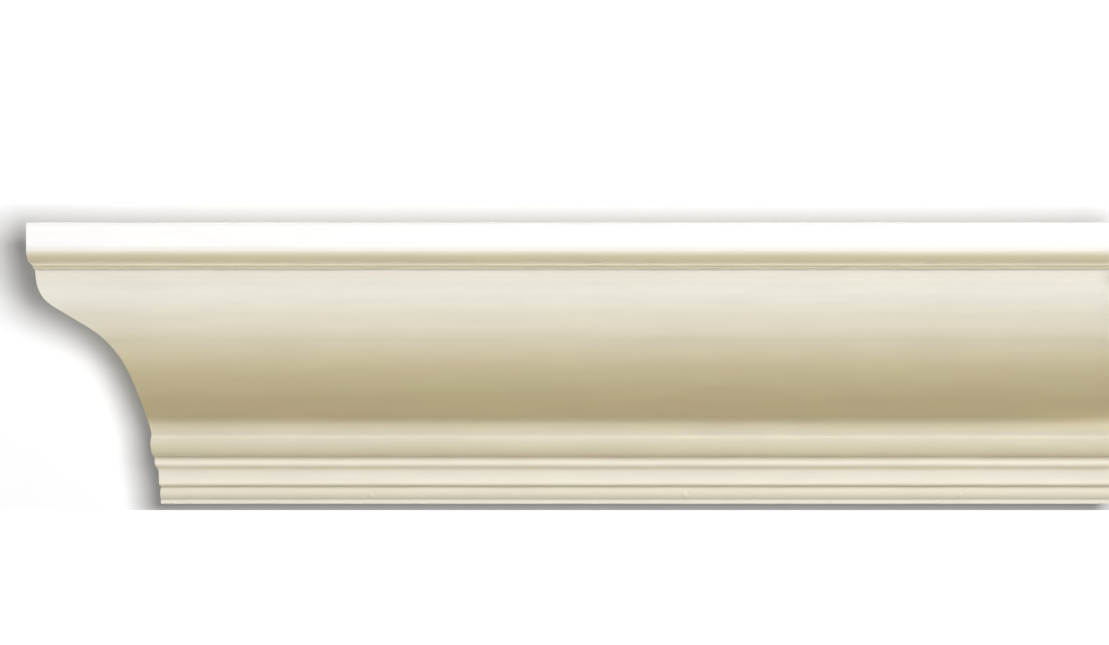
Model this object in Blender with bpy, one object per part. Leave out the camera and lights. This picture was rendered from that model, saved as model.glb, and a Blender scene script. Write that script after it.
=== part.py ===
"""Crown moulding length: one moulded strip that covers the corner between a wall and a ceiling.

The profile is drawn as (out, up): metres out from the wall, and metres up from the lower edge. It is run
along X. The wall face lies in the plane y = 0 and the front looks towards -Y, so out is -Y. The left end is
cut at a mitre, as for an outside corner, and the right end is cut square. The origin is the middle of the
flat face that lies on the wall.
"""

import math

import bmesh
import bpy

# The strip as a whole
LENGTH = 0.515
HEIGHT = 0.13335
PROJECTION = 0.06985
MITRE_ANGLE = math.radians(45)

# The back: a flat for the wall, a flat for the ceiling, and a sloping relief between them
WALL_FLAT_HEIGHT = 0.045
CEILING_FLAT_DEPTH = 0.031
LOWER_EDGE_THICKNESS = 0.0070

# Members at the foot, from the lower edge up
BOTTOM_FILLET_HEIGHT = 0.0019
BOTTOM_FILLET_LIP = 0.0001
ASTRAGAL_HEIGHT = 0.0059
ASTRAGAL_BULGE = 0.0004
BAND_CHAMFER_HEIGHT = 0.0014
BAND_CHAMFER_DEPTH = 0.0009
BAND_HEIGHT = 0.0071
BAND_HOLLOW_DEPTH = 0.0005
FILLET_CHAMFER_HEIGHT = 0.0024
FILLET_CHAMFER_DEPTH = 0.0015
FILLET_HEIGHT = 0.0038
FILLET_LEAN = 0.0002
BEAD_UNDERSIDE_HEIGHT = 0.0068
BEAD_UNDERSIDE_DEPTH = 0.0018
BEAD_TOP_HEIGHT = 0.0030
BEAD_TOP_DEPTH = 0.0006
BEAD_TOP_BULGE = 0.00015
FOOT_FLAT_HEIGHT = 0.0036
FOOT_FLAT_LEAN = 0.0007

# Members at the head, from the ceiling down
FASCIA_HEIGHT = 0.01255
FASCIA_ROUND_HEIGHT = 0.0062
FASCIA_ROUND_DEPTH = 0.0016
HEAD_CHAMFER_HEIGHT = 0.0015
HEAD_CHAMFER_DEPTH = 0.0014
HEAD_FILLET_HEIGHT = 0.0012
HEAD_FILLET_LEAN = 0.0003
HEAD_STEP_HEIGHT = 0.0009
HEAD_STEP_DEPTH = 0.0009

# The big double curve between them. It bulges below the head and hollows above the foot. Its turn, where
# bulge becomes hollow, and its handles are shares of its own drop and reach; its slopes are from upright.
CYMA_TURN_DROP = 0.320
CYMA_TURN_REACH = 0.378
CYMA_HEAD_SLOPE = math.radians(5.5)
CYMA_TURN_SLOPE = math.radians(61.4)
CYMA_FOOT_SLOPE = math.radians(19)
CYMA_HEAD_HANDLE = 0.105
CYMA_BULGE_HANDLE = 0.340
CYMA_HOLLOW_HANDLE = 0.313
CYMA_FOOT_HANDLE = 0.346

# Nail marks pressed into the astragal, at these shares of the strip's length from the mitred tip
NAIL_MARKS = (0.317, 0.607, 0.861)
NAIL_MARK_DIAMETER = 0.0026
NAIL_MARK_DEPTH = 0.0004

# How many straight steps each round member takes, and the least bend that stays a crisp edge
SMALL_STEPS = 6
CYMA_STEPS = 16
DIMPLE_SEGMENTS = 20
SHARP_EDGE_ANGLE = math.radians(25)

# Cutters stand this far past what they cut
CUTTER_MARGIN = 0.02
WELD_DISTANCE = 1e-6


def clear_scene():
    for obj in list(bpy.data.objects):
        bpy.data.objects.remove(obj)


def new_collection(name):
    collection = bpy.data.collections.new(name)
    bpy.context.scene.collection.children.link(collection)
    return collection


def primed_ivory():
    material = bpy.data.materials.new("primed_ivory_foam")
    material.use_nodes = True
    shader = material.node_tree.nodes["Principled BSDF"]
    shader.inputs["Base Color"].default_value = (0.80, 0.76, 0.65, 1)
    shader.inputs["Roughness"].default_value = 0.5
    shader.inputs["Metallic"].default_value = 0
    return material


class Pen:
    """Draws the profile from one point to the next, by moves out from the wall and up."""

    def __init__(self, out, up):
        self.points = [(out, up)]

    def line(self, out, up):
        last_out, last_up = self.points[-1]
        self.points.append((last_out + out, last_up + up))

    def line_to(self, out, up):
        self.points.append((out, up))

    def quarter(self, out, up, starts_upright, steps=SMALL_STEPS):
        """A quarter of an ellipse. It leaves upright and ends level, or the other way round."""
        last_out, last_up = self.points[-1]
        for step in range(1, steps + 1):
            turn = math.pi / 2 * step / steps
            rise, run = math.sin(turn), 1 - math.cos(turn)
            if not starts_upright:
                rise, run = run, rise
            self.points.append((last_out + out * run, last_up + up * rise))

    def bow(self, out, up, bulge, steps=SMALL_STEPS):
        """A shallow arc, drawn as a parabola that stands off its chord by the bulge."""
        last_out, last_up = self.points[-1]
        for step in range(1, steps + 1):
            share = step / steps
            stand_off = 4 * bulge * share * (1 - share)
            self.points.append((last_out + out * share + stand_off, last_up + up * share))

    def curve_to(self, out, up, slope_here, slope_there, handle_here, handle_there, steps=CYMA_STEPS):
        """A cubic curve upwards. Slopes are from upright, leaning out, and handles are lengths."""
        start_out, start_up = self.points[-1]
        first = (start_out + handle_here * math.sin(slope_here), start_up + handle_here * math.cos(slope_here))
        second = (out - handle_there * math.sin(slope_there), up - handle_there * math.cos(slope_there))
        corners = ((start_out, start_up), first, second, (out, up))
        for step in range(1, steps + 1):
            share = step / steps
            left = 1 - share
            weights = (left**3, 3 * left**2 * share, 3 * left * share**2, share**3)
            self.points.append(tuple(sum(w * c[axis] for w, c in zip(weights, corners)) for axis in (0, 1)))


def draw_foot(pen):
    """The small members, from the lower edge to the foot of the big curve."""
    pen.line(0, BOTTOM_FILLET_HEIGHT)
    pen.line(-BOTTOM_FILLET_LIP, 0)
    pen.bow(0, ASTRAGAL_HEIGHT, ASTRAGAL_BULGE)
    pen.line(BAND_CHAMFER_DEPTH, BAND_CHAMFER_HEIGHT)
    pen.quarter(BAND_HOLLOW_DEPTH, BAND_HEIGHT, starts_upright=True)
    pen.line(FILLET_CHAMFER_DEPTH, FILLET_CHAMFER_HEIGHT)
    pen.line(FILLET_LEAN, FILLET_HEIGHT)
    pen.quarter(BEAD_UNDERSIDE_DEPTH, BEAD_UNDERSIDE_HEIGHT, starts_upright=False)
    pen.bow(-BEAD_TOP_DEPTH, BEAD_TOP_HEIGHT, BEAD_TOP_BULGE)
    pen.line(FOOT_FLAT_LEAN, FOOT_FLAT_HEIGHT)


def draw_cyma(pen, head_out, head_up):
    """The big double curve, from where the pen is up to the underside of the head."""
    foot_out, foot_up = pen.points[-1]
    drop, reach = head_up - foot_up, head_out - foot_out
    turn_out = head_out - CYMA_TURN_REACH * reach
    turn_up = head_up - CYMA_TURN_DROP * drop
    pen.curve_to(
        turn_out, turn_up, CYMA_FOOT_SLOPE, CYMA_TURN_SLOPE, CYMA_FOOT_HANDLE * drop, CYMA_HOLLOW_HANDLE * drop
    )
    pen.curve_to(
        head_out, head_up, CYMA_TURN_SLOPE, CYMA_HEAD_SLOPE, CYMA_BULGE_HANDLE * drop, CYMA_HEAD_HANDLE * drop
    )


def draw_head(pen):
    """The members under the ceiling, from the top of the big curve to the front top edge."""
    pen.line(HEAD_STEP_DEPTH, HEAD_STEP_HEIGHT)
    pen.line(HEAD_FILLET_LEAN, HEAD_FILLET_HEIGHT)
    pen.line(HEAD_CHAMFER_DEPTH, HEAD_CHAMFER_HEIGHT)
    pen.quarter(FASCIA_ROUND_DEPTH, FASCIA_ROUND_HEIGHT, starts_upright=False)
    pen.line(0, FASCIA_HEIGHT)


def profile_points():
    head_depth = HEAD_STEP_DEPTH + HEAD_FILLET_LEAN + HEAD_CHAMFER_DEPTH + FASCIA_ROUND_DEPTH
    lip_height = HEAD_STEP_HEIGHT + HEAD_FILLET_HEIGHT + HEAD_CHAMFER_HEIGHT
    head_height = lip_height + FASCIA_ROUND_HEIGHT + FASCIA_HEIGHT
    pen = Pen(0, 0)
    pen.line_to(LOWER_EDGE_THICKNESS + BOTTOM_FILLET_LIP, 0)
    draw_foot(pen)
    draw_cyma(pen, PROJECTION - head_depth, HEIGHT - head_height)
    draw_head(pen)
    pen.line_to(PROJECTION - CEILING_FLAT_DEPTH, HEIGHT)
    pen.line_to(0, WALL_FLAT_HEIGHT)
    return pen.points


# The strip's ends along X. The wall face is shorter than the front by the mitre's set-back.
MITRE_SET_BACK = PROJECTION * math.tan(MITRE_ANGLE)
SQUARE_END = (LENGTH - MITRE_SET_BACK) / 2
MITRE_TIP = SQUARE_END - LENGTH
LOWER_EDGE_Z = -WALL_FLAT_HEIGHT / 2


def extrude_profile(collection):
    """The profile as a filled 2D curve, run along X, and turned into a welded mesh."""
    outline = bpy.data.curves.new("profile", "CURVE")
    outline.dimensions = "2D"
    outline.fill_mode = "BOTH"
    outline.extrude = LENGTH / 2
    spline = outline.splines.new("POLY")
    points = profile_points()
    spline.points.add(len(points) - 1)
    for point, (out, up) in zip(spline.points, points):
        point.co = (out, up, 0, 1)
    spline.use_cyclic_u = True

    drawn = bpy.data.objects.new("profile", outline)
    collection.objects.link(drawn)
    drawn.rotation_euler = (math.radians(90), 0, math.radians(-90))
    drawn.location = ((MITRE_TIP + SQUARE_END) / 2, 0, LOWER_EDGE_Z)
    bpy.context.view_layer.update()

    mesh = bpy.data.meshes.new_from_object(drawn.evaluated_get(bpy.context.evaluated_depsgraph_get()))
    welder = bmesh.new()
    welder.from_mesh(mesh)
    bmesh.ops.remove_doubles(welder, verts=welder.verts, dist=WELD_DISTANCE)
    bmesh.ops.recalc_face_normals(welder, faces=welder.faces)
    welder.to_mesh(mesh)
    welder.free()

    strip = bpy.data.objects.new("moulding_length", mesh)
    strip.matrix_world = drawn.matrix_world
    collection.objects.link(strip)
    bpy.data.objects.remove(drawn)
    return strip


def store_cutter(obj, name, collection):
    obj.name = name
    for owner in list(obj.users_collection):
        owner.objects.unlink(obj)
    collection.objects.link(obj)
    obj.hide_render = True
    obj.display_type = "WIRE"
    return obj


def mitre_cutter(collection):
    """A block whose one face lies on the mitre, from the wall at the corner to the front's tip."""
    size = 2 * (max(HEIGHT, PROJECTION / math.cos(MITRE_ANGLE)) + CUTTER_MARGIN)
    middle = (MITRE_TIP + MITRE_SET_BACK / 2, -PROJECTION / 2)
    away = (-math.cos(MITRE_ANGLE), math.sin(MITRE_ANGLE))
    place = (middle[0] + away[0] * size / 2, middle[1] + away[1] * size / 2, LOWER_EDGE_Z + HEIGHT / 2)
    bpy.ops.mesh.primitive_cube_add(size=size, location=place, rotation=(0, 0, -MITRE_ANGLE))
    return store_cutter(bpy.context.object, "mitre_block", collection)


def nail_cutters(collection):
    """Balls that each press one shallow round mark into the crown of the astragal."""
    half = NAIL_MARK_DIAMETER / 2
    radius = (half**2 + NAIL_MARK_DEPTH**2) / (2 * NAIL_MARK_DEPTH)
    out = LOWER_EDGE_THICKNESS + ASTRAGAL_BULGE + radius - NAIL_MARK_DEPTH
    up = BOTTOM_FILLET_HEIGHT + ASTRAGAL_HEIGHT / 2
    cutters = []
    for number, share in enumerate(NAIL_MARKS, start=1):
        bpy.ops.mesh.primitive_uv_sphere_add(
            segments=DIMPLE_SEGMENTS,
            ring_count=DIMPLE_SEGMENTS,
            radius=radius,
            location=(MITRE_TIP + share * LENGTH, -out, LOWER_EDGE_Z + up),
            rotation=(math.radians(90), 0, 0),
        )
        cutters.append(store_cutter(bpy.context.object, f"nail_ball_{number}", collection))
    return cutters


def cut(target, cutter):
    modifier = target.modifiers.new(cutter.name, "BOOLEAN")
    modifier.operation = "DIFFERENCE"
    modifier.object = cutter


def main():
    clear_scene()
    parts = new_collection("crown_moulding_length")
    cutters = new_collection("cutters")
    strip = extrude_profile(parts)
    strip.data.materials.append(primed_ivory())
    cut(strip, mitre_cutter(cutters))
    for ball in nail_cutters(cutters):
        cut(strip, ball)
    strip.data.shade_smooth()
    strip.data.set_sharp_from_angle(angle=SHARP_EDGE_ANGLE)


main()
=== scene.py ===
# %% [markdown]
# A length of crown moulding, the strip that covers the corner between a wall and a ceiling.
#
# The real thing is one piece. Polyurethane foam is moulded in a long, closed mould, comes out with a dense
# smooth skin, and is sprayed in the factory with a warm ivory primer. The left end is sawn at 45 degrees to
# meet the next length around an outside corner, and the right end is sawn square.
#
# The lesson follows that order. The cross-section is drawn first, because every line on the front is a corner
# of that section seen from the side. Then the section is run out into a strip, the mitre is cut, the nail
# holes are filled, and the skin gets its finish. Last come the backdrop, the lights and the camera.

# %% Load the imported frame
import math

import bmesh
import bpy
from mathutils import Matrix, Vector


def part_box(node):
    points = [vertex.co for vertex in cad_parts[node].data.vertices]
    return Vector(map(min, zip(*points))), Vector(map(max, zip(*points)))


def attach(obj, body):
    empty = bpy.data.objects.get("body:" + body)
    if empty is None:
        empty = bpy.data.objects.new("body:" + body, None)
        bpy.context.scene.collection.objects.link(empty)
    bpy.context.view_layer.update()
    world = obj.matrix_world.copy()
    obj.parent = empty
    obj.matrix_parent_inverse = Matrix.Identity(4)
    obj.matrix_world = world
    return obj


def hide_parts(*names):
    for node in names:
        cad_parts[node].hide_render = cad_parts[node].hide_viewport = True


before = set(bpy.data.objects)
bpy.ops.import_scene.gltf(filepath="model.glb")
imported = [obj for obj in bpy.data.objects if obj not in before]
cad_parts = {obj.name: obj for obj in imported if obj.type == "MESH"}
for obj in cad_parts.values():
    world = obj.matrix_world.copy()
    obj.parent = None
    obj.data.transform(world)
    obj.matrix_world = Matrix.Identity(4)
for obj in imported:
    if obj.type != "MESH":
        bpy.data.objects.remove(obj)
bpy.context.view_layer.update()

low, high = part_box("moulding_length")
print("the strip runs from", tuple(low), "to", tuple(high))

# %% [markdown]
# Sizes come before shapes. The frame gives the strip's box, so its length, height and projection are read
# from there and never typed again. What the box can't say is the height and depth of each small member of
# the section, and those are named here as a moulding maker would name them, from the lower edge up. They are
# real sizes in metres, written as millimetres times MM.

# %% Sizes of the section
MM = 0.001

LEFT, RIGHT = low.x, high.x
BOTTOM, TOP = low.z, high.z
WALL = high.y
PROJECTION = WALL - low.y
HEIGHT = TOP - BOTTOM

LOWER_EDGE_THICKNESS = 7.0 * MM
WALL_FLAT_HEIGHT = 45.0 * MM
CEILING_FLAT_DEPTH = 31.0 * MM

BOTTOM_FILLET_HEIGHT, BOTTOM_FILLET_LIP = 1.9 * MM, 0.1 * MM
ASTRAGAL_HEIGHT, ASTRAGAL_BULGE = 5.9 * MM, 0.4 * MM
BAND_CHAMFER_HEIGHT, BAND_CHAMFER_DEPTH = 1.4 * MM, 0.9 * MM
BAND_HEIGHT, BAND_HOLLOW_DEPTH = 7.1 * MM, 0.5 * MM
FILLET_CHAMFER_HEIGHT, FILLET_CHAMFER_DEPTH = 2.4 * MM, 1.5 * MM
FILLET_HEIGHT, FILLET_LEAN = 3.8 * MM, 0.2 * MM
BEAD_UNDERSIDE_HEIGHT, BEAD_UNDERSIDE_DEPTH = 6.8 * MM, 1.8 * MM
BEAD_TOP_HEIGHT, BEAD_TOP_DEPTH, BEAD_TOP_BULGE = 3.0 * MM, 0.6 * MM, 0.15 * MM
FOOT_FLAT_HEIGHT, FOOT_FLAT_LEAN = 3.6 * MM, 0.7 * MM

FASCIA_HEIGHT = 12.55 * MM
FASCIA_ROUND_HEIGHT, FASCIA_ROUND_DEPTH = 6.2 * MM, 1.6 * MM
HEAD_CHAMFER_HEIGHT, HEAD_CHAMFER_DEPTH = 1.5 * MM, 1.4 * MM
HEAD_FILLET_HEIGHT, HEAD_FILLET_LEAN = 1.2 * MM, 0.3 * MM
HEAD_STEP_HEIGHT, HEAD_STEP_DEPTH = 0.9 * MM, 0.9 * MM

print("height", round(HEIGHT / MM, 2), "mm, projection", round(PROJECTION / MM, 2), "mm")

# %% [markdown]
# The section is drawn in edit mode with one vertex as the pencil. A plane is added where the pencil starts
# and merged to a single vertex. Extruding a vertex by a move leaves a straight line behind it, and spinning
# it about a centre leaves an arc, so any moulding can be drawn with the same two operators.
#
# Every place on the section is given as (out, up): out from the wall and up from the lower edge. A slope is
# measured from upright, and grows as the line leans away from the wall.

# %% The pencil
def deselect_all():
    if bpy.context.selected_objects:
        bpy.ops.object.select_all(action="DESELECT")


def place(out, up):
    return Vector((RIGHT, WALL - out, BOTTOM + up))


def edit_mesh():
    return bmesh.from_edit_mesh(bpy.context.object.data)


def tip():
    """Where the pencil is, as (out, up)."""
    vertex = next(v for v in edit_mesh().verts if v.select)
    return WALL - vertex.co.y, vertex.co.z - BOTTOM


def start_section(name, out, up):
    deselect_all()
    bpy.ops.mesh.primitive_plane_add(size=MM, location=place(out, up))
    bpy.context.object.name = name
    bpy.ops.object.transform_apply(location=True)
    bpy.ops.object.mode_set(mode="EDIT")
    bpy.ops.mesh.select_mode(type="VERT")
    bpy.ops.mesh.merge(type="CENTER")
    return bpy.context.object


def line(out, up):
    bpy.ops.mesh.extrude_region_move(TRANSFORM_OT_translate={"value": (0, -out, up)})


def line_to(out, up):
    here = tip()
    line(out - here[0], up - here[1])


# %% [markdown]
# An arc needs a centre, and the centre lies square to the line's slope, on the side that the arc turns to.
# The spin operator turns the other way from the usual right-hand rule about +X, so the angle goes in with its
# sign changed. A shallow bow is the arc over a chord. A quarter of an ellipse is a quarter circle squeezed
# sideways with a resize that keeps its first point still.

# %% Arcs, bows and quarters
def arc(radius, slope_here, slope_there, steps):
    out, up = tip()
    side = math.copysign(radius, slope_there - slope_here)
    centre = place(out + side * math.cos(slope_here), up - side * math.sin(slope_here))
    bpy.ops.mesh.spin(steps=steps, angle=slope_here - slope_there, center=centre, axis=(1, 0, 0))


def bow(out, up, bulge, steps):
    """An arc that ends at (out, up) from here and stands off its chord by the bulge."""
    chord = math.hypot(out, up)
    lean = math.atan2(out, up)
    half_turn = 2 * math.atan(2 * bulge / chord)
    arc(chord / 2 / math.sin(half_turn), lean + half_turn, lean - half_turn, steps)


def quarter(out, up, starts_upright, steps):
    """A quarter of an ellipse, which leaves upright and ends level, or the other way round."""
    drawn_before = len(edit_mesh().verts)
    start = place(*tip())
    upright, level = 0, math.radians(90)
    arc(up, *((upright, level) if starts_upright else (level, upright)), steps)
    mesh = edit_mesh()
    mesh.verts.ensure_lookup_table()
    last = next(v.index for v in mesh.verts if v.select)
    for vertex in mesh.verts[drawn_before:]:
        vertex.select = True
    bpy.ops.transform.resize(value=(1, out / up, 1), center_override=start)
    bpy.ops.mesh.select_all(action="DESELECT")
    mesh = edit_mesh()
    mesh.verts.ensure_lookup_table()
    mesh.verts[last].select = True


# %% [markdown]
# A moulded and primed edge is never razor sharp. The corners that get a small round are noted down while the
# pencil passes them, with how far the round reaches along each side. They are rounded together later.

# %% Notes on corners
corners = []
heights = {}


def ease(reach):
    corners.append((place(*tip()), reach))


def note(name):
    """Remembers how far up the pencil is, so that the finish can follow the members later."""
    heights[name] = tip()[1]


# %% [markdown]
# First the small members at the foot, which lie nearly flat against the wall: a thin fillet at the lower
# edge, a low half-round called an astragal, a hollow band, a fillet, and a bead with a rounded underside.
# These throw the fine dark lines that the eye reads as the moulding's detail, so each step is kept, however
# small.

# %% The foot of the section
CRISP, SOFT, INNER, VALLEY = 0.22 * MM, 0.4 * MM, 0.15 * MM, 1.4 * MM
QUARTER_STEPS, ASTRAGAL_STEPS, BEAD_TOP_STEPS = 14, 20, 6

moulding = start_section("moulding_strip", LOWER_EDGE_THICKNESS + BOTTOM_FILLET_LIP, 0)
note("lower edge")
ease(CRISP)
line(0, BOTTOM_FILLET_HEIGHT)
note("bottom fillet")
line(-BOTTOM_FILLET_LIP, 0)
bow(0, ASTRAGAL_HEIGHT, ASTRAGAL_BULGE, steps=ASTRAGAL_STEPS)
note("astragal")
ease(INNER)
line(BAND_CHAMFER_DEPTH, BAND_CHAMFER_HEIGHT)
note("band chamfer")
ease(CRISP)
quarter(BAND_HOLLOW_DEPTH, BAND_HEIGHT, starts_upright=True, steps=QUARTER_STEPS)
note("band")
line(FILLET_CHAMFER_DEPTH, FILLET_CHAMFER_HEIGHT)
note("fillet chamfer")
ease(CRISP)
line(FILLET_LEAN, FILLET_HEIGHT)
note("fillet")
ease(INNER)
quarter(BEAD_UNDERSIDE_DEPTH, BEAD_UNDERSIDE_HEIGHT, starts_upright=False, steps=QUARTER_STEPS)
note("bead underside")
bow(-BEAD_TOP_DEPTH, BEAD_TOP_HEIGHT, BEAD_TOP_BULGE, steps=BEAD_TOP_STEPS)
note("bead")
ease(VALLEY)
line(FOOT_FLAT_LEAN, FOOT_FLAT_HEIGHT)
note("foot flat")
ease(SOFT)
print("the foot ends", [round(value / MM, 2) for value in tip()], "mm out and up")

# %% [markdown]
# Then the big double curve, which joiners call a cyma. From the foot it is almost upright and hollow, it
# leans further and further out until it is closer to level than to upright, and then it turns back under the
# fascia. Three arcs and a straight follow it, and each starts at the slope that the last one ended with, so
# the surface runs on without a crease. A last short straight closes the small gap to the head.

# %% The big double curve
FOOT_SLOPE, HOLLOW_SLOPE = math.radians(17.5), math.radians(24.0)
TURN_SLOPE, HEAD_SLOPE = math.radians(58.5), math.radians(5.3)
FLAT_HOLLOW_RADIUS, FLAT_HOLLOW_STEPS = 242 * MM, 12
DEEP_HOLLOW_RADIUS, DEEP_HOLLOW_STEPS = 50.6 * MM, 22
TURN_LENGTH = 18.7 * MM
BULGE_RADIUS, BULGE_STEPS = 16.4 * MM, 24

lip_depth = HEAD_STEP_DEPTH + HEAD_FILLET_LEAN + HEAD_CHAMFER_DEPTH
lip_height = HEAD_STEP_HEIGHT + HEAD_FILLET_HEIGHT + HEAD_CHAMFER_HEIGHT
head_out = PROJECTION - FASCIA_ROUND_DEPTH - lip_depth
head_up = HEIGHT - FASCIA_HEIGHT - FASCIA_ROUND_HEIGHT - lip_height

arc(FLAT_HOLLOW_RADIUS, FOOT_SLOPE, HOLLOW_SLOPE, FLAT_HOLLOW_STEPS)
arc(DEEP_HOLLOW_RADIUS, HOLLOW_SLOPE, TURN_SLOPE, DEEP_HOLLOW_STEPS)
note("hollow")
line(TURN_LENGTH * math.sin(TURN_SLOPE), TURN_LENGTH * math.cos(TURN_SLOPE))
note("turn")
arc(BULGE_RADIUS, TURN_SLOPE, HEAD_SLOPE, BULGE_STEPS)
print("the curve ends", [round(value / MM, 2) for value in tip()], "mm out and up")
print("the head starts", round(head_out / MM, 2), round(head_up / MM, 2))
line_to(head_out, head_up)
note("curve")
ease(INNER)

# %% [markdown]
# At the head a lip of three thin members, a step, a fillet and a chamfer, leads out to the rounded foot of
# the fascia, the broad upright face under the ceiling. Behind it the back is plain: a flat that lies on the
# ceiling, a slope that keeps clear of a corner that is never quite square, and a flat that lies on the wall.
# When the pencil is back where it started, the two ends are merged and the loop is filled with one face.

# %% The head, the back, and the filled section
line(HEAD_STEP_DEPTH, HEAD_STEP_HEIGHT)
note("head step")
ease(CRISP)
line(HEAD_FILLET_LEAN, HEAD_FILLET_HEIGHT)
note("head fillet")
ease(INNER)
line(HEAD_CHAMFER_DEPTH, HEAD_CHAMFER_HEIGHT)
note("head chamfer")
ease(CRISP)
quarter(FASCIA_ROUND_DEPTH, FASCIA_ROUND_HEIGHT, starts_upright=False, steps=QUARTER_STEPS)
note("fascia round")
line(0, FASCIA_HEIGHT)
note("fascia")
ease(SOFT)
line_to(PROJECTION - CEILING_FLAT_DEPTH, HEIGHT)
ease(SOFT)
line_to(0, WALL_FLAT_HEIGHT)
ease(SOFT)
line_to(0, 0)
ease(SOFT)
line_to(LOWER_EDGE_THICKNESS + BOTTOM_FILLET_LIP, 0)

MERGE_DISTANCE = 0.001 * MM
bpy.ops.mesh.select_all(action="SELECT")
bpy.ops.mesh.remove_doubles(threshold=MERGE_DISTANCE)
bpy.ops.mesh.edge_face_add()
print("section:", len(edit_mesh().verts), "points,", len(edit_mesh().faces), "face")

# %% [markdown]
# The corners noted earlier are now found again by their place and bevelled as vertices. On a flat face that
# rounds them in the plane of the section, which is much easier to control than a bevel along the finished
# edges, where the small steps of the neighbouring arcs would limit its width.

# %% Round the corners
CLOSE = 0.01 * MM
EASE_SEGMENTS = 4

for reach in (CRISP, SOFT, INNER, VALLEY):
    bpy.ops.mesh.select_all(action="DESELECT")
    spots = [spot for spot, spot_reach in corners if spot_reach == reach]
    for vertex in edit_mesh().verts:
        vertex.select = any((vertex.co - spot).length < CLOSE for spot in spots)
    edit_mesh().select_flush_mode()
    bpy.ops.mesh.bevel(offset=reach, segments=EASE_SEGMENTS, affect="VERTICES")
    print("rounded", len(spots), "corners by", round(reach / MM, 2), "mm")

# %% [markdown]
# Now the section is run out along the strip, from the square end to a little past the mitred tip. The nail
# marks will need fine mesh, so the face stops on both sides of each place where a nail will be, and only
# those short lengths are subdivided. The rest stays in long, perfectly straight faces.

# %% Run the section along X
LENGTH = RIGHT - LEFT
NAIL_MARK_SHARES = (0.3155, 0.6055, 0.8595)
NAIL_MARKS = [LEFT + share * LENGTH for share in NAIL_MARK_SHARES]
MARK_REACH = 4.5 * MM
MARK_CUTS = 35
OVERRUN = 10 * MM

stops = [stop for x in reversed(NAIL_MARKS) for stop in (x + MARK_REACH, x - MARK_REACH)]
bpy.ops.mesh.select_all(action="SELECT")
here = RIGHT
for stop in stops + [LEFT - OVERRUN]:
    bpy.ops.mesh.extrude_region_move(TRANSFORM_OT_translate={"value": (stop - here, 0, 0)})
    here = stop

bpy.ops.mesh.select_mode(type="EDGE")
bpy.ops.mesh.select_all(action="DESELECT")
for edge in edit_mesh().edges:
    ends = [vertex.co.x for vertex in edge.verts]
    runs_along = max(ends) - min(ends) > MARK_REACH
    edge.select = runs_along and any(abs(sum(ends) / 2 - x) < CLOSE for x in NAIL_MARKS)
bpy.ops.mesh.subdivide(number_cuts=MARK_CUTS)
print("run out to", len(edit_mesh().faces), "faces")

# %% [markdown]
# The mitre is a saw cut, so it is made as one: bisect cuts the whole strip with a plane, throws away what is
# outside it and fills the cut. The plane stands at 45 degrees and passes through the tip of the fascia, the
# leftmost point of the finished piece.

# %% Cut the mitre
bpy.ops.mesh.select_mode(type="VERT")
bpy.ops.mesh.select_all(action="SELECT")
bpy.ops.mesh.bisect(
    plane_co=(LEFT, WALL - PROJECTION, 0),
    plane_no=(-1, 1, 0),
    use_fill=True,
    clear_outer=True,
)
bpy.ops.mesh.select_all(action="SELECT")
bpy.ops.mesh.remove_doubles(threshold=MERGE_DISTANCE)
bpy.ops.mesh.normals_make_consistent(inside=False)
open_edges = sum(1 for edge in edit_mesh().edges if len(edge.link_faces) != 2)
print("after the cut:", len(edit_mesh().faces), "faces,", open_edges, "open edges")

# %% [markdown]
# Three nail marks sit on the astragal, where the strip was pinned to the wall. Each nail is set below the
# surface and its hole is dabbed with filler, which dries as a low dome. Moving one vertex with proportional
# editing does what a finger does to clay: the neighbours follow less and less. A tiny pit beside each dome is
# where the filler didn't quite close the hole.

# %% Fill the nail holes
DAB_HEIGHT, DAB_RADIUS = 0.22 * MM, 1.8 * MM
PIT_DEPTH, PIT_RADIUS = 0.14 * MM, 0.7 * MM
PIT_FROM_DAB = Vector((1.5 * MM, 0, 1.1 * MM))
DAB_SHARE_OF_ASTRAGAL = 0.34
dab_up = BOTTOM_FILLET_HEIGHT + DAB_SHARE_OF_ASTRAGAL * ASTRAGAL_HEIGHT


def press(spot, depth, reach):
    """Moves the vertex nearest to the spot towards the wall, and takes its neighbours along."""
    bpy.ops.mesh.select_all(action="DESELECT")
    nearest = min(edit_mesh().verts, key=lambda vertex: (vertex.co - spot).length)
    nearest.select = True
    bpy.ops.transform.translate(
        value=(0, depth, 0),
        use_proportional_edit=True,
        proportional_edit_falloff="SMOOTH",
        proportional_size=reach,
    )


for x in NAIL_MARKS:
    crown = Vector((x, WALL - LOWER_EDGE_THICKNESS - ASTRAGAL_BULGE, BOTTOM + dab_up))
    press(crown, -DAB_HEIGHT, DAB_RADIUS)
    press(crown + PIT_FROM_DAB, PIT_DEPTH, PIT_RADIUS)
bpy.ops.object.mode_set(mode="OBJECT")
print("three holes filled at x =", [round(x, 4) for x in NAIL_MARKS])

# %% [markdown]
# Smooth shading would smear light across the crisp arrises, and flat shading would show every step of the
# arcs. Shading by angle gives both: edges that turn by more than the limit stay sharp. A weighted normal
# modifier then lets the big faces decide the shading, so the long flats stay flat up to their rounded edges.

# %% Shade the strip
SHARP_ANGLE = math.radians(35)

bpy.ops.object.shade_smooth_by_angle(angle=SHARP_ANGLE)
weighted = moulding.modifiers.new("weighted_normals", "WEIGHTED_NORMAL")
weighted.keep_sharp = True
bpy.ops.object.modifier_apply(modifier=weighted.name)
print(moulding.name, len(moulding.data.vertices), "vertices,", len(moulding.data.polygons), "faces")

# %% [markdown]
# Materials are made of nodes, and one small function adds any of them: what kind it is, its settings, and for
# each input either a value or the output that feeds it. Colours are picked as sRGB hex values, as in a paint
# chart, and the shader wants linear light, so one function turns the first into the second.

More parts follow.
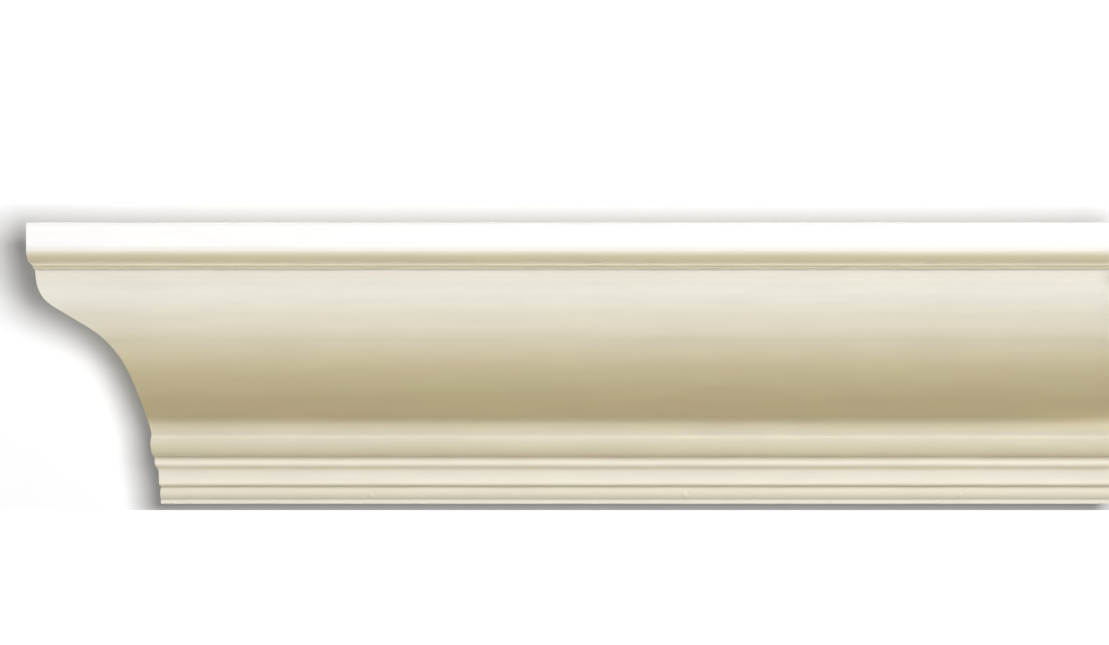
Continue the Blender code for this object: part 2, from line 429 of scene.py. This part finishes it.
# %% Colour and node helpers
def colour(hex_value):
    """An sRGB hex colour such as "F4EEDC" as linear RGBA."""
    channels = [int(hex_value[i : i + 2], 16) / 255 for i in (0, 2, 4)]
    linear = [c / 12.92 if c <= 0.04045 else ((c + 0.055) / 1.055) ** 2.4 for c in channels]
    return (*linear, 1)


def node(tree, kind, inputs=None, **settings):
    made = tree.nodes.new(kind)
    for name, value in settings.items():
        setattr(made, name, value)
    for socket, value in (inputs or {}).items():
        if isinstance(value, bpy.types.NodeSocket):
            tree.links.new(value, made.inputs[socket])
        else:
            made.inputs[socket].default_value = value
    return made


def sum_of(tree, first, second):
    return node(tree, "ShaderNodeMath", {0: first, 1: second}, operation="ADD").outputs["Value"]


def mixed(tree, factor, first, second):
    """The first colour where the factor is 0, the second where it is 1."""
    inputs = {"Factor": factor, "A": first, "B": second}
    return node(tree, "ShaderNodeMix", inputs, data_type="RGBA").outputs["Result"]


def new_material(name):
    material = bpy.data.materials.new(name)
    material.use_nodes = True
    return material, material.node_tree, material.node_tree.nodes["Principled BSDF"]


# %% [markdown]
# The front of the real strip is polyurethane foam, moulded with a closed skin and sprayed in the factory
# with a warm ivory primer. On top of that colour the tones paint light and shade. They are palest on the
# members that stand out and face the lamps, and painted darker and warmer as shade under the fascia, in the
# quirks between the small members, and above all in the hollow of the big curve, which is painted almost the
# colour of honey. The fascia is painted nearly white as a highlight, with painted shade along its round foot
# and a little grey painted shade along its rounded upper edge.
#
# Every member runs along X, so a colour that depends only on height follows all of them. Each tone is pinned
# to a member by the height that was noted while its line was drawn, with an offset in millimetres, and it
# stays there if a size changes.

# %% The tones of the primer, with painted light and shade
WHITE, PEARL, PUTTY, STONE, ASH = "E3E1DF", "D9D9DA", "D9D7D0", "D0CBBC", "B6B6B8"
PALE, BLOND, MILK, CREAM, IVORY, LINEN = "FAF6E8", "FCF3D4", "F1E9D8", "E8E2D4", "DFDBCE", "DDD7C5"
OAT, CORN, SAND, STRAW, DRAB = "E3DCC6", "E2D5B1", "D8D1BC", "D4CCB1", "C9C3AC"
FLAX, TAN, UMBER = "C9C1A4", "C1B798", "BAAD8C"
BUTTER, HONEY, WHEAT, AMBER = "F2E6C4", "E2D4AA", "D9CDA9", "DAC89C"

# Painted light and shade on the foot: dark painted shade in the quirks and under the small members, paler
# painted highlights on their faces.
FOOT_TONES_AND_PAINTED_SHADING = (
    ("lower edge", 0, CREAM),
    ("bottom fillet", -0.4, CREAM),
    ("bottom fillet", 0.3, DRAB),
    ("bottom fillet", 1.8, SAND),
    ("astragal", -2.4, OAT),
    ("astragal", -1.2, LINEN),
    ("astragal", -0.1, DRAB),
    ("band chamfer", -0.5, STRAW),
    ("band chamfer", 1.0, MILK),
    ("band", -1.8, CREAM),
    ("band", -0.1, OAT),
    ("band", 0.9, FLAX),
    ("fillet chamfer", 0.4, MILK),
    ("fillet", -2.4, MILK),
    ("fillet", -1.4, SAND),
    ("fillet", -0.4, TAN),
    ("fillet", 0.5, UMBER),
    ("fillet", 1.8, FLAX),
    ("bead underside", -2.4, STRAW),
    ("bead underside", 0.4, SAND),
    ("bead", -1.0, DRAB),
    ("bead", 0.2, OAT),
    ("bead", 1.5, OAT),
    ("foot flat", 0.2, BUTTER),
    ("foot flat", 1.6, BUTTER),
    ("foot flat", 5.4, AMBER),
)
# Painted light and shade above the foot: the hollow painted dark as shade, the bulge painted pale as a
# highlight, the fascia painted white with painted shade along its round foot and upper edge.
CURVE_TONES_AND_PAINTED_SHADING = (
    FOOT_TONES_AND_PAINTED_SHADING[-1],
    ("foot flat", 13.0, AMBER),
    ("foot flat", 24.0, HONEY),
    ("hollow", -21.0, HONEY),
    ("hollow", -13.0, WHEAT),
    ("hollow", -6.5, FLAX),
    ("hollow", 0, SAND),
    ("hollow", 6.5, LINEN),
    ("turn", 2.0, CREAM),
    ("turn", 3.7, PALE),
    ("curve", -10.5, PALE),
    ("curve", -6.2, IVORY),
    ("curve", -3.6, IVORY),
    ("curve", -2.2, CREAM),
    ("curve", -0.2, CREAM),
    ("head step", -0.6, FLAX),
    ("head step", 0, TAN),
    ("head fillet", -0.7, BLOND),
    ("head fillet", 0, BLOND),
    ("head chamfer", -0.9, CORN),
    ("head chamfer", -0.1, TAN),
    ("head chamfer", 0.9, FLAX),
    ("head chamfer", 2.0, TAN),
    ("fascia round", -3.2, TAN),
    ("fascia round", -1.3, STONE),
    ("fascia round", -0.3, PUTTY),
    ("fascia round", 0.6, PUTTY),
    ("fascia round", 1.9, WHITE),
    ("fascia", -2.0, WHITE),
    ("fascia", -0.7, PEARL),
    ("fascia", 0, ASH),
)
print(len(FOOT_TONES_AND_PAINTED_SHADING), "tones on the foot,", len(CURVE_TONES_AND_PAINTED_SHADING), "on the curve and the head")

# %% [markdown]
# A colour ramp holds at most 32 stops, so the foot gets one and everything above it another, and a third node
# picks between them by height. The height is stirred a little by a slow noise first, so that the bands of
# painted light and shade never end on a ruled line.

# %% A ramp along the height
def up_at(member, offset):
    """The height above the lower edge of a place so many millimetres above a member's upper end."""
    return heights[member] + offset * MM


def member_ramp(tree, height, tones):
    """A colour ramp over the height above the lower edge, with its stops pinned to the members."""
    places = [up_at(member, offset) for member, offset, tone in tones]
    share = node(
        tree,
        "ShaderNodeMapRange",
        {"Value": height, "From Min": places[0], "From Max": places[-1]},
    )
    ramp = node(tree, "ShaderNodeValToRGB", {"Fac": share.outputs["Result"]})
    stops = ramp.color_ramp.elements
    while len(stops) < len(tones):
        stops.new(1)
    for stop, up, (member, offset, tone) in zip(stops, places, tones):
        stop.position = (up - places[0]) / (places[-1] - places[0])
        stop.color = colour(tone)
    return ramp.outputs["Color"]


def pattern(tree, where, along, across, **inputs):
    """Noise whose patches are so long along the strip and so high across it, both in metres."""
    stretched = node(
        tree,
        "ShaderNodeMapping",
        {"Vector": where, "Scale": (1 / along, 1 / across, 1 / across)},
    )
    return node(
        tree,
        "ShaderNodeTexNoise",
        {"Vector": stretched.outputs["Vector"], "Scale": 1, **inputs},
    ).outputs["Fac"]


def scaled(tree, value, low_end, high_end):
    """A noise value, which stays mostly between 0.3 and 0.7, stretched to run between two others."""
    return node(
        tree,
        "ShaderNodeMapRange",
        {"Value": value, "From Min": 0.3, "From Max": 0.7, "To Min": low_end, "To Max": high_end},
    ).outputs["Result"]


# %% [markdown]
# On top of the tones come the traces of the spraying, all of them faint: clouds drawn out along the strip, a
# hue that swings a little between pink and green, a sheen that comes and goes, and the fine grain of paint
# that dried in the air. They are what keeps a smooth, pale thing from looking like plastic.

# %% Primed ivory
DRIFT = 0.1 * MM
CLOUDS = 0.025
SAME_HUE, WARMTH = 0.5, 0.006
SHEEN = (0.42, 0.52)


def primed_ivory():
    """Factory primer over moulded polyurethane: warm, with an eggshell sheen, clouds, a fine grain and
    painted shading.
    """
    material, tree, shader = new_material("primed_polyurethane_ivory")
    where = node(tree, "ShaderNodeTexCoord").outputs["Object"]
    axes = node(tree, "ShaderNodeSeparateXYZ", {"Vector": where})
    drift = scaled(tree, pattern(tree, where, along=60 * MM, across=30 * MM, Detail=3), -DRIFT, DRIFT)
    stirred = sum_of(tree, sum_of(tree, axes.outputs["Z"], -BOTTOM), drift)
    above_foot = node(
        tree,
        "ShaderNodeMath",
        {0: stirred, 1: up_at(*CURVE_TONES_AND_PAINTED_SHADING[0][:2])},
        operation="GREATER_THAN",
    )
    # Both ramps paint light and shade into the primer's colour by height.
    on_foot = member_ramp(tree, stirred, FOOT_TONES_AND_PAINTED_SHADING)
    on_curve = member_ramp(tree, stirred, CURVE_TONES_AND_PAINTED_SHADING)
    tone = mixed(tree, above_foot.outputs["Value"], on_foot, on_curve)
    cloudy = pattern(tree, where, along=38 * MM, across=7 * MM, Detail=5, Roughness=0.6)
    clouds = scaled(tree, cloudy, 1 - CLOUDS, 1 + CLOUDS)
    patchy = pattern(tree, where, along=55 * MM, across=9 * MM, Detail=2)
    warmth = scaled(tree, patchy, SAME_HUE - WARMTH, SAME_HUE + WARMTH)
    clouded = node(tree, "ShaderNodeHueSaturation", {"Color": tone, "Hue": warmth, "Value": clouds})
    sheen = scaled(tree, pattern(tree, where, along=25 * MM, across=4 * MM, Detail=4), *SHEEN)
    grain = pattern(tree, where, along=0.9 * MM, across=0.9 * MM, Detail=2)
    bump = node(tree, "ShaderNodeBump", {"Height": grain, "Strength": 0.25, "Distance": 0.02 * MM})
    tree.links.new(clouded.outputs["Color"], shader.inputs["Base Color"])
    tree.links.new(sheen, shader.inputs["Roughness"])
    tree.links.new(bump.outputs["Normal"], shader.inputs["Normal"])
    return material


# %% [markdown]
# The saw leaves something else. Rigid polyurethane foam is full of closed cells, and the blade opens them,
# so the mitre and the square end are matt and finely pitted, a yellower cream than the primer, with faint
# lines where the teeth went through. Three patterns make it: large cells for the odd void, small ones for the
# foam's own grain, and a wave for the saw.

# %% Sawn foam
CELL_SIZE, TOOTH_SPACING, SAW_MARKS = 1.1 * MM, 2.2 * MM, 0.35
VOID_SPACING, VOID_SHARES = 4.5 * MM, (0.03, 0.16)


def sawn_foam():
    """Rigid polyurethane foam cut by a saw: open cells, dry and matt, with the marks of the teeth."""
    material, tree, shader = new_material("sawn_polyurethane_foam")
    where = node(tree, "ShaderNodeTexCoord").outputs["Object"]
    cells = node(tree, "ShaderNodeTexVoronoi", {"Vector": where, "Scale": 1 / CELL_SIZE})
    voids = node(tree, "ShaderNodeTexVoronoi", {"Vector": where, "Scale": 1 / VOID_SPACING})
    size = scaled(tree, voids.outputs["Color"], *VOID_SHARES)
    depth = node(tree, "ShaderNodeMath", {0: voids.outputs["Distance"], 1: size}, operation="DIVIDE")
    pit = node(
        tree,
        "ShaderNodeMapRange",
        {"Value": depth.outputs["Value"], "From Min": 0.6, "From Max": 1.1},
        interpolation_type="SMOOTHSTEP",
    ).outputs["Result"]
    saw = node(
        tree,
        "ShaderNodeTexWave",
        {"Vector": where, "Scale": 0.5 / TOOTH_SPACING, "Distortion": 2.5, "Detail": 3, "Detail Scale": 3},
        bands_direction="Z",
    ).outputs["Fac"]
    blotches = pattern(tree, where, along=22 * MM, across=14 * MM, Detail=4)
    base = mixed(tree, scaled(tree, blotches, 0.2, 0.8), colour("EDE4C8"), colour("E2D7B4"))
    # The hollow of each cell, and each void, are painted darker: painted shade in holes that are only bumps.
    open_cell_shade = node(
        tree,
        "ShaderNodeMapRange",
        {"Value": cells.outputs["Distance"], "From Min": 0.1, "From Max": 0.5, "To Min": 0.35, "To Max": 0},
    ).outputs["Result"]
    grainy = mixed(tree, open_cell_shade, base, colour("C9BB92"))
    pitted = mixed(tree, pit, colour("B8A67C"), grainy)
    lines = node(tree, "ShaderNodeMath", {0: saw, 1: SAW_MARKS}, operation="MULTIPLY").outputs["Value"]
    relief = sum_of(tree, sum_of(tree, cells.outputs["Distance"], lines), pit)
    bump = node(tree, "ShaderNodeBump", {"Height": relief, "Strength": 0.6, "Distance": 0.25 * MM})
    tree.links.new(pitted, shader.inputs["Base Color"])
    tree.links.new(bump.outputs["Normal"], shader.inputs["Normal"])
    shader.inputs["Roughness"].default_value = 0.85
    return material


# %% [markdown]
# The back isn't meant to be seen. It keeps the skin that the mould gave it, with no primer on it: a plain,
# dull cream, cloudy where the foam pressed against the lid, with small pinholes.

# %% Moulded back
PINHOLE_SPACING = 11 * MM


def moulded_skin():
    """The bare moulded skin of polyurethane foam: closed, dull, unevenly yellowed, with a few pinholes."""
    material, tree, shader = new_material("moulded_polyurethane_skin")
    where = node(tree, "ShaderNodeTexCoord").outputs["Object"]
    cloudy = pattern(tree, where, along=70 * MM, across=25 * MM, Detail=5, Distortion=0.6)
    clouds = scaled(tree, cloudy, 0, 1)
    skin = mixed(tree, clouds, colour("B4AB90"), colour("A89E82"))
    spots = node(tree, "ShaderNodeTexVoronoi", {"Vector": where, "Scale": 1 / PINHOLE_SPACING})
    hole = node(
        tree,
        "ShaderNodeMapRange",
        {"Value": spots.outputs["Distance"], "From Min": 0.03, "From Max": 0.07},
        interpolation_type="SMOOTHSTEP",
    ).outputs["Result"]
    # Each pinhole is painted dark: painted shade in a hole that is only a bump.
    pinholed = mixed(tree, hole, colour("857A5E"), skin)
    waves = pattern(tree, where, along=40 * MM, across=6 * MM, Detail=4)
    relief = sum_of(tree, waves, hole)
    bump = node(tree, "ShaderNodeBump", {"Height": relief, "Strength": 0.4, "Distance": 0.2 * MM})
    tree.links.new(pinholed, shader.inputs["Base Color"])
    tree.links.new(scaled(tree, clouds, 0.5, 0.65), shader.inputs["Roughness"])
    tree.links.new(bump.outputs["Normal"], shader.inputs["Normal"])
    return material


# %% [markdown]
# Which face gets which finish can be read off its normal. The sawn faces are the only ones that look along
# the strip. The back faces look to the wall or up to the ceiling, and the rest is the primed front.

# %% Put the finishes on
PRIMED, SAWN, BACK = range(3)
FACES_THAT_WAY, FACES_MOSTLY_UP, NEAR_THE_TOP = 0.5, 0.7, 1 * MM

for material in (primed_ivory(), sawn_foam(), moulded_skin()):
    moulding.data.materials.append(material)


def finish_of(face):
    if abs(face.normal.x) > FACES_THAT_WAY:
        return SAWN
    looks_back = face.normal.y > FACES_THAT_WAY
    looks_up = face.normal.z > FACES_MOSTLY_UP and face.center.z > TOP - NEAR_THE_TOP
    return BACK if looks_back or looks_up else PRIMED


for face in moulding.data.polygons:
    face.material_index = finish_of(face)
counts = [sum(1 for face in moulding.data.polygons if face.material_index == slot) for slot in range(3)]
print("primed, sawn and back faces:", counts)

# %% [markdown]
# The piece now rides on the frame's one body and stands for the plain solid of the frame.

# %% Tie the piece to the frame
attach(moulding, "root")
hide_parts("moulding_length")

# %% [markdown]
# The stage is a studio: a glowing opal floor, a round white tent for the background of every other view, and
# a grey board that hangs a little way behind the strip. A lamp of its own lights the board to pure white, and
# the strip's shadow falls on it. The board leans towards the strip's head, because the head stands out much
# further than the foot, and so the shadow is about as soft beside the one as beside the other. A weak glow
# keeps it a clear grey.
#
# None of the three lights the strip, so their rays are switched off for everything but the camera. Each can
# only be seen from the strip's side and looks clear from the other, so none comes between the strip and a
# camera behind or below it.

# %% The stage
FLOOR_DROP, FLOOR_SIZE = 1.2, 14.0
TENT_RADIUS = 5.0
GLOW_SPREAD = 2.5
BOARD_GAP, BOARD_LEAN = 60 * MM, math.radians(18)
BOARD_WIDTH, BOARD_RISE, BOARD_DROP = 3.0, 1.0, 3.65 * MM
DULL = 0.9

middle = Vector(((LEFT + RIGHT) / 2, WALL, (BOTTOM + TOP) / 2))
foot_left = LEFT + PROJECTION - LOWER_EDGE_THICKNESS


def hide_from(thing, *kinds_of_rays):
    for rays in kinds_of_rays:
        setattr(thing, "visible_" + rays, False)


def stage_paint(name, hex_value, glow_in_front, glow_behind):
    """One-sided pale paint that glows, from one strength in front of the strip to another behind it."""
    material, tree, shader = new_material(name)
    shader.inputs["Base Color"].default_value = colour(hex_value)
    shader.inputs["Roughness"].default_value = DULL
    where = node(tree, "ShaderNodeTexCoord").outputs["Object"]
    depth = node(tree, "ShaderNodeSeparateXYZ", {"Vector": where}).outputs["Y"]
    ends = {"From Min": -GLOW_SPREAD, "From Max": GLOW_SPREAD, "To Min": glow_in_front, "To Max": glow_behind}
    glow = node(tree, "ShaderNodeMapRange", {"Value": depth, **ends})
    shader.inputs["Emission Color"].default_value = colour(hex_value)
    tree.links.new(glow.outputs["Result"], shader.inputs["Emission Strength"])
    facing_away = node(tree, "ShaderNodeNewGeometry").outputs["Backfacing"]
    clear = node(tree, "ShaderNodeBsdfTransparent").outputs["BSDF"]
    paint = shader.outputs["BSDF"]
    both = node(tree, "ShaderNodeMixShader", {0: facing_away, 1: paint, 2: clear})
    tree.links.new(both.outputs["Shader"], tree.nodes["Material Output"].inputs["Surface"])
    return material


deselect_all()
bpy.ops.mesh.primitive_plane_add(size=FLOOR_SIZE, location=(middle.x, middle.y, BOTTOM - FLOOR_DROP))
floor = bpy.context.object
floor.name = "floor"

deselect_all()
board_height = BOARD_RISE + BOARD_DROP
board_foot = Vector((middle.x, WALL + BOARD_GAP, BOTTOM - BOARD_DROP))
board_up = Vector((0, -math.sin(BOARD_LEAN), math.cos(BOARD_LEAN)))
bpy.ops.mesh.primitive_plane_add(
    size=1,
    location=board_foot + board_up * board_height / 2,
    rotation=(math.radians(90) + BOARD_LEAN, 0, 0),
)
board = bpy.context.object
board.name = "board"
board.scale = (BOARD_WIDTH, board_height, 1)

deselect_all()
bpy.ops.mesh.primitive_uv_sphere_add(radius=TENT_RADIUS, segments=64, ring_count=32, location=middle)
tent = bpy.context.object
tent.name = "tent"
bpy.ops.object.mode_set(mode="EDIT")
bpy.ops.mesh.flip_normals()
bpy.ops.object.mode_set(mode="OBJECT")
bpy.ops.object.shade_smooth()

floor.data.materials.append(stage_paint("opal_floor", "F6F5F3", 0.55, 0.9))
board.data.materials.append(stage_paint("board_paint", "A8A8A9", 0.38, 0.38))
tent.data.materials.append(stage_paint("tent_cloth", "F6F5F3", 0.6, 1.1))
for stage_piece in (floor, board, tent):
    hide_from(stage_piece, "shadow", "diffuse", "glossy", "transmission")
print("stage:", floor.name, board.name, tent.name)

# %% [markdown]
# The real strip runs on past the right edge of the picture. Here it ends there, and light would slip in under
# the fascia from the open end. A photographer blocks such light with a flag, a black card on a stand. This
# flag is a block in line with the head of the strip, and only shadow rays see it.

# %% A flag past the square end
FLAG_LENGTH = 600 * MM
FLAG_GAP = 0.5 * MM
flag_height = HEIGHT - head_up

deselect_all()
bpy.ops.mesh.primitive_cube_add(
    size=1,
    location=(RIGHT + FLAG_GAP + FLAG_LENGTH / 2, WALL - PROJECTION / 2, TOP - flag_height / 2),
)
flag = bpy.context.object
flag.name = "flag"
flag.scale = (FLAG_LENGTH, PROJECTION, flag_height)
hide_from(flag, "camera", "diffuse", "glossy", "transmission")
print("the flag is", FLAG_LENGTH, "m long")

# %% [markdown]
# Two narrow cards deepen the soft shadow on the board, one along the lower edge and one along the top.
# They block the board's own lamp and no other, and only shadow rays see them too.

# %% Cards along the shadow
CARD_BELOW, CARD_ABOVE = 3.3 * MM, 3.8 * MM
CARD_BEHIND = 1 * MM


def shadow_card(name, left, out, lower_edge, height):
    """A strip of card as long as the strip is from its left end, so far out from the wall."""
    length = RIGHT - left
    deselect_all()
    bpy.ops.mesh.primitive_plane_add(
        size=1,
        location=(left + length / 2, WALL - out, lower_edge + height / 2),
        rotation=(math.radians(90), 0, 0),
    )
    card = bpy.context.object
    card.name = name
    card.scale = (length, height, 1)
    hide_from(card, "camera", "diffuse", "glossy", "transmission")
    return card


card_below = shadow_card("card_below", foot_left, -CARD_BEHIND, BOTTOM - CARD_BELOW, CARD_BELOW)
card_above = shadow_card("card_above", LEFT, PROJECTION, TOP, CARD_ABOVE)
print("cards:", card_below.name, card_above.name)

# %% [markdown]
# The light is all soft and nearly white. Long strip boxes hang parallel to the moulding, so that every place
# along it is lit alike. The key comes from high in front, narrow enough to draw crisp shadows under the small
# members, and a wider box above it softens them. A box under the strip fills the big curve from below, which
# together with the painted shade in the primer makes its bulge bright and its hollow dark, and a weak one
# fills from the front.
#
# Two square boxes, one behind and one past the square end, light the sides that the front view doesn't show.
#
# Each box lights only what it is meant for. Light linking does that: a lamp with a receiver collection
# reaches the objects in it and no others, and one with a blocker collection is stopped by those in it alone.
# So the boxes above leave the board alone, and one lamp, in front and a little up to the right, whitens the
# board and draws the strip's soft shadow to the lower left of it.

# %% Light
def group(name, things):
    made = bpy.data.collections.new(name)
    for thing in things:
        made.objects.link(thing)
    return made


def softbox(name, azimuth, elevation, distance, size, watts, lights, stopped_by, shift=0):
    """An area light aimed at the strip. Azimuth 0 is in front of it, 90 past its square end."""
    turn, up = math.radians(azimuth), math.radians(elevation)
    towards = Vector((math.sin(turn) * math.cos(up), -math.cos(turn) * math.cos(up), math.sin(up)))
    data = bpy.data.lights.new(name, "AREA")
    data.shape = "RECTANGLE"
    data.size, data.size_y = size
    data.energy = watts
    lamp = bpy.data.objects.new(name, data)
    bpy.context.scene.collection.objects.link(lamp)
    lamp.location = middle + towards * distance + Vector((shift, 0, 0))
    lamp.rotation_euler = (math.radians(90) - up, 0, turn)
    lamp.visible_camera = False
    lamp.light_linking.receiver_collection = group(name + "_lights", lights)
    lamp.light_linking.blocker_collection = group(name + "_stopped_by", stopped_by)
    return lamp


NEAR, MIDWAY, FAR = 1.0, 1.6, 3.0
THIN, LONG = (3.0, 0.05), (3.0, 0.3)
STRIP, STRIP_AND_FLAG = [moulding], [moulding, flag]
softbox("key_strip", 0, 50, MIDWAY, THIN, 44.3, STRIP, STRIP_AND_FLAG, shift=0.6)
softbox("top_box", 0, 65, MIDWAY, LONG, 27.9, STRIP, STRIP_AND_FLAG, shift=0.3)
softbox("box_below", 0, -89, NEAR, LONG, 19.0, STRIP, STRIP)
softbox("front_box", 0, 0, MIDWAY, LONG, 4.7, STRIP, STRIP)
softbox("rear_box", 190, 25, MIDWAY, (1.2, 1.2), 36.0, STRIP, STRIP)
softbox("side_box", 100, 15, MIDWAY, (1.0, 1.0), 8.0, STRIP, STRIP)
softbox("board_light", 5.0, 3.2, FAR, (0.72, 0.72), 201.0, [board], [moulding, card_below, card_above])

AMBIENT = 0.16
world = bpy.data.worlds.new("studio")
world.use_nodes = True
world.node_tree.nodes["Background"].inputs["Color"].default_value = colour("FFFFFF")
world.node_tree.nodes["Background"].inputs["Strength"].default_value = AMBIENT
bpy.context.scene.world = world
bpy.context.scene.view_settings.view_transform = "Standard"
bpy.context.scene.view_settings.look = "None"

# %% [markdown]
# The picture looks straight at the strip with a very long lens from far away, which shows every member at
# the same scale, like a drawing. One pixel is a fixed length on the face of the foot. The camera stands so
# far off that the whole width of the picture covers that length times the number of pixels, and is placed so
# that the lower left corner of the foot lands on its own pixel.

# %% Camera
IMAGE_WIDTH, IMAGE_HEIGHT = 1109, 645
PIXEL = 0.4754 * MM
FOOT_LEFT_PIXEL = 161.1
FOOT_BOTTOM_PIXEL = 503.7
LENS, SENSOR = 800, 36
CLIP_START, CLIP_END = 0.1, 60

foot_face = WALL - LOWER_EDGE_THICKNESS
distance = IMAGE_WIDTH * PIXEL * LENS / SENSOR
camera_data = bpy.data.cameras.new("camera")
camera_data.lens = LENS
camera_data.sensor_width = SENSOR
camera_data.clip_start = CLIP_START
camera_data.clip_end = CLIP_END
camera = bpy.data.objects.new("camera", camera_data)
bpy.context.scene.collection.objects.link(camera)
camera.location = (
    foot_left + (IMAGE_WIDTH / 2 - FOOT_LEFT_PIXEL) * PIXEL,
    foot_face - distance,
    BOTTOM + (FOOT_BOTTOM_PIXEL - IMAGE_HEIGHT / 2) * PIXEL,
)
camera.rotation_euler = (math.radians(90), 0, 0)
bpy.context.scene.camera = camera
print("camera at", tuple(round(value, 4) for value in camera.location))
